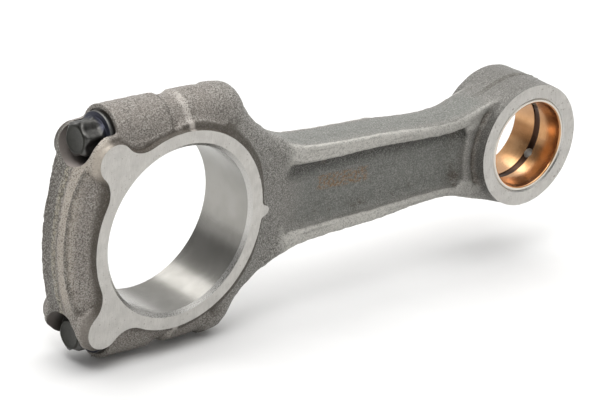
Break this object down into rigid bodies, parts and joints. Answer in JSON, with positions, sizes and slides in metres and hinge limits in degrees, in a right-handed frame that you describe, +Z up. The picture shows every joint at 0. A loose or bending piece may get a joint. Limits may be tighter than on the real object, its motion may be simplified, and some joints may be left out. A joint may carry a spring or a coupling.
{
  "type": "connecting rod",
  "caption": "Forged I-section connecting rod with a fracture-split big end, bolted bearing cap and bronze-lined small-end bush.",
  "frame": {"origin": "centre of the big-end bore, half way between its faces", "axes": "+X along the rod towards the small end, +Y along both bores, +Z up across the rod's width, towards one cap bolt"},
  "size_m": [0.3708, 0.04, 0.1448],
  "materials": {
    "forged_steel": "shot-blasted forging with ground faces",
    "forged_steel_cap": "shot-blasted forging with ground faces",
    "bush_steel": "turned steel strip",
    "bush_bronze": "fine-bored bronze",
    "bolt_steel": "blackened, slightly oily"
  },
  "bodies": {
    "rod": {"rod_body": "forged_steel", "bush_steel_back": "bush_steel", "bush_bronze_lining": "bush_bronze"},
    "cap": {"bearing_cap": "forged_steel_cap"},
    "bolt_upper": {"cap_bolt_upper": "bolt_steel"},
    "bolt_lower": {"cap_bolt_lower": "bolt_steel"}
  },
  "joints": [
    {"name": "cap_slide", "type": "slide", "parent": "rod", "child": "cap", "axis": [-1, 0, 0], "range_m": [0, 0.08]},
    {"name": "bolt_upper_slide", "type": "slide", "parent": "cap", "child": "bolt_upper", "axis": [-1, 0, 0], "range_m": [0, 0.09]},
    {"name": "bolt_lower_slide", "type": "slide", "parent": "cap", "child": "bolt_lower", "axis": [-1, 0, 0], "range_m": [0, 0.09]}
  ]
}
